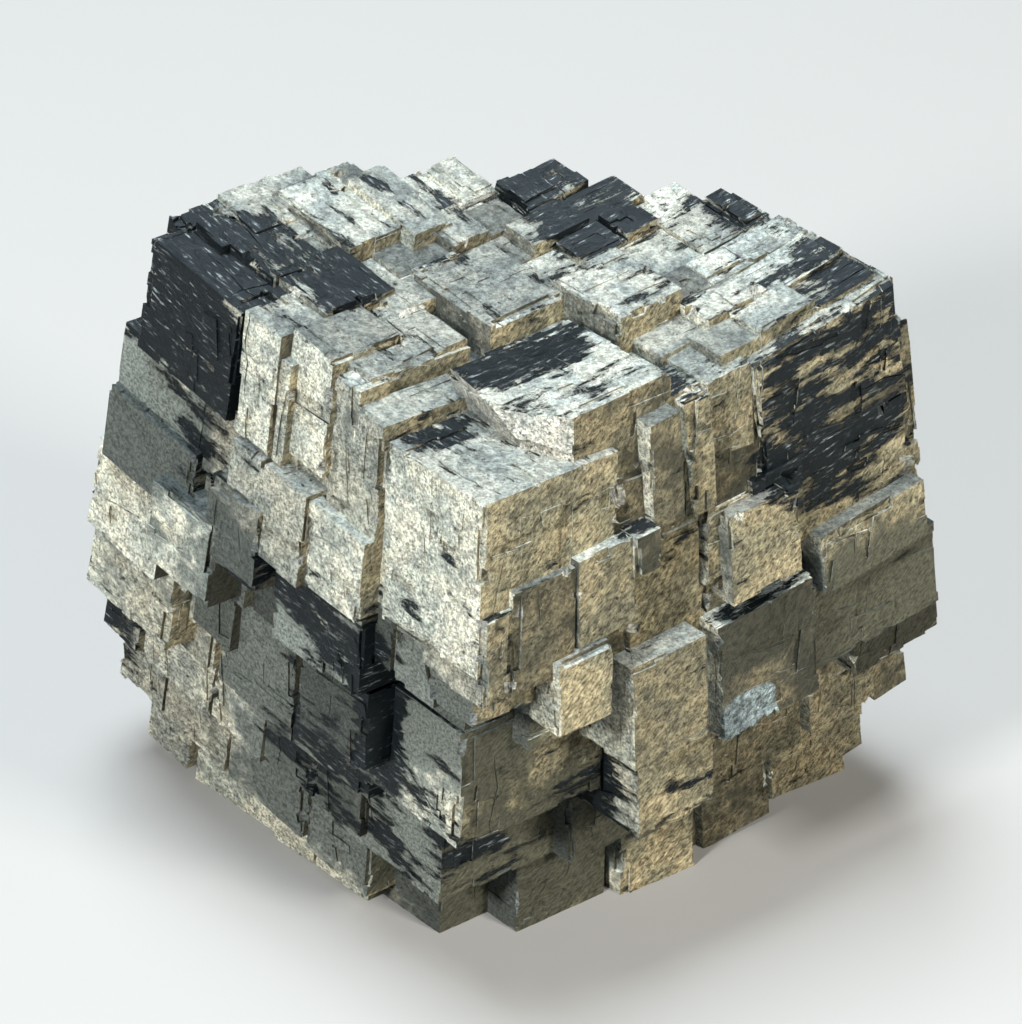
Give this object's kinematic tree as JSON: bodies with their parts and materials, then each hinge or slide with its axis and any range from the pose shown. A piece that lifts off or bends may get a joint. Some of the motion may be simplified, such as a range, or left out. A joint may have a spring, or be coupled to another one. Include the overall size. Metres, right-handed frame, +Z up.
{
  "type": "calcite specimen",
  "caption": "Dark grey calcite crystal, one rhombohedron whose faces are broken into stepped, slightly turned cleavage bricks, resting on a flat base.",
  "frame": {"origin": "middle of the bottom of the crystal's box, on the surface that it rests on", "axes": "+Z up; -Y towards the viewer, where the keystone corner is; +X to the viewer's right"},
  "size_m": [0.049, 0.0318, 0.0371],
  "materials": {
    "calcite": "satin cleavage faces, pale grey with dark inclusions"
  },
  "bodies": {
    "root": {"calcite_crystal": "calcite"}
  },
  "joints": []
}
